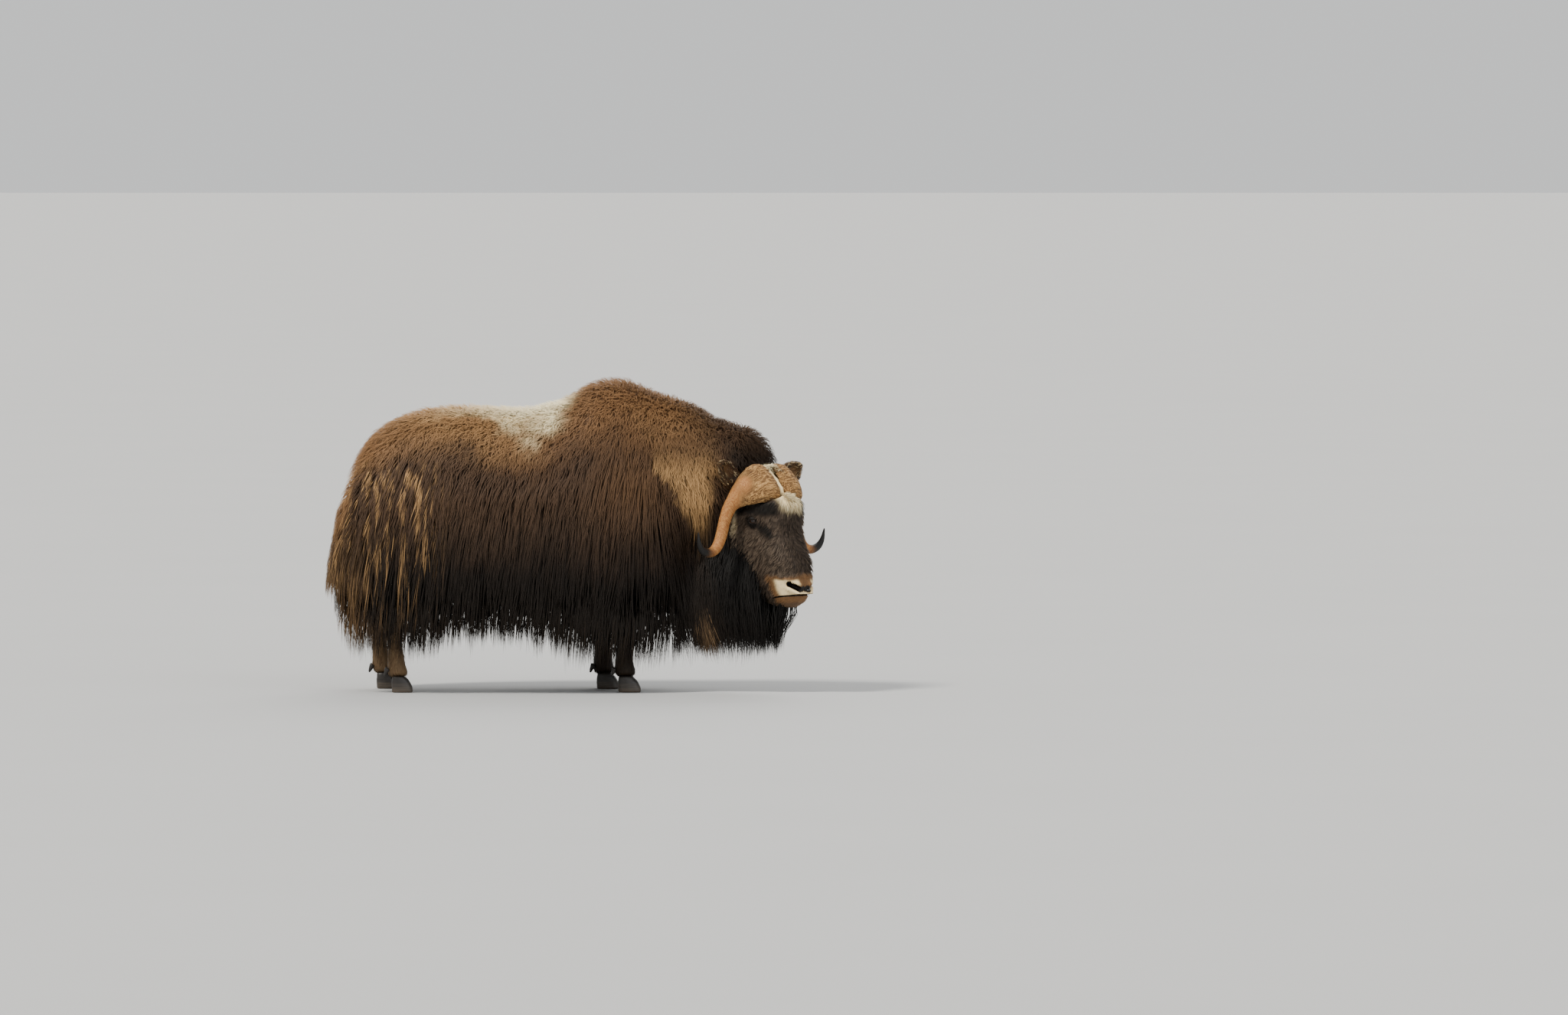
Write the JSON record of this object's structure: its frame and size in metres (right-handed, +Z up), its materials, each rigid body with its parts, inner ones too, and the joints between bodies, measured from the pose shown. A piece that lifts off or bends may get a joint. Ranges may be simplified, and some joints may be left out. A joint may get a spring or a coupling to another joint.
{
  "type": "muskox",
  "caption": "Life-size standing muskox bull, head turned to its right, with a humped back, a coat that hangs almost to the feet and down-curved horns; a still display model.",
  "frame": {"origin": "on the ground, below the middle of the whole animal", "axes": "+X towards the head end, +Y to the animal's left, +Z up"},
  "size_m": [2.1602, 0.786, 1.3555],
  "materials": {
    "coat": "matt, long brown hair",
    "mane": "matt, long black-brown hair",
    "face": "matt, short dark hair",
    "muzzle": "matt, short pale hair",
    "stocking": "matt, short pale hair",
    "horn": "satin, rough and fibrous on the boss, black at the tip",
    "hoof": "satin, dark horn",
    "eye": "wet gloss"
  },
  "bodies": {
    "root": {"horn_right": "horn", "eye_right": "eye", "horn_left": "horn", "eye_left": "eye", "ear_right": "face", "ear_left": "face", "lower_jaw": "mane", "muzzle": "muzzle", "head": "face", "hoof_foreleg_right_inner": "hoof", "dewclaw_foreleg_right_inner": "hoof", "hoof_foreleg_right_outer": "hoof", "dewclaw_foreleg_right_outer": "hoof", "foreleg_right": "stocking", "hoof_foreleg_left_inner": "hoof", "dewclaw_foreleg_left_inner": "hoof", "hoof_foreleg_left_outer": "hoof", "dewclaw_foreleg_left_outer": "hoof", "foreleg_left": "stocking", "hoof_hindleg_right_inner": "hoof", "dewclaw_hindleg_right_inner": "hoof", "hoof_hindleg_right_outer": "hoof", "dewclaw_hindleg_right_outer": "hoof", "hindleg_right": "stocking", "hoof_hindleg_left_inner": "hoof", "dewclaw_hindleg_left_inner": "hoof", "hoof_hindleg_left_outer": "hoof", "dewclaw_hindleg_left_outer": "hoof", "hindleg_left": "stocking", "tail": "coat", "rump": "coat", "barrel": "coat", "withers": "coat", "skirt_rear_right": "coat", "skirt_middle_right": "coat", "skirt_fore_right": "coat", "skirt_rear_left": "coat", "skirt_middle_left": "coat", "skirt_fore_left": "coat", "neck": "coat", "throat_mane": "mane"}
  },
  "joints": []
}
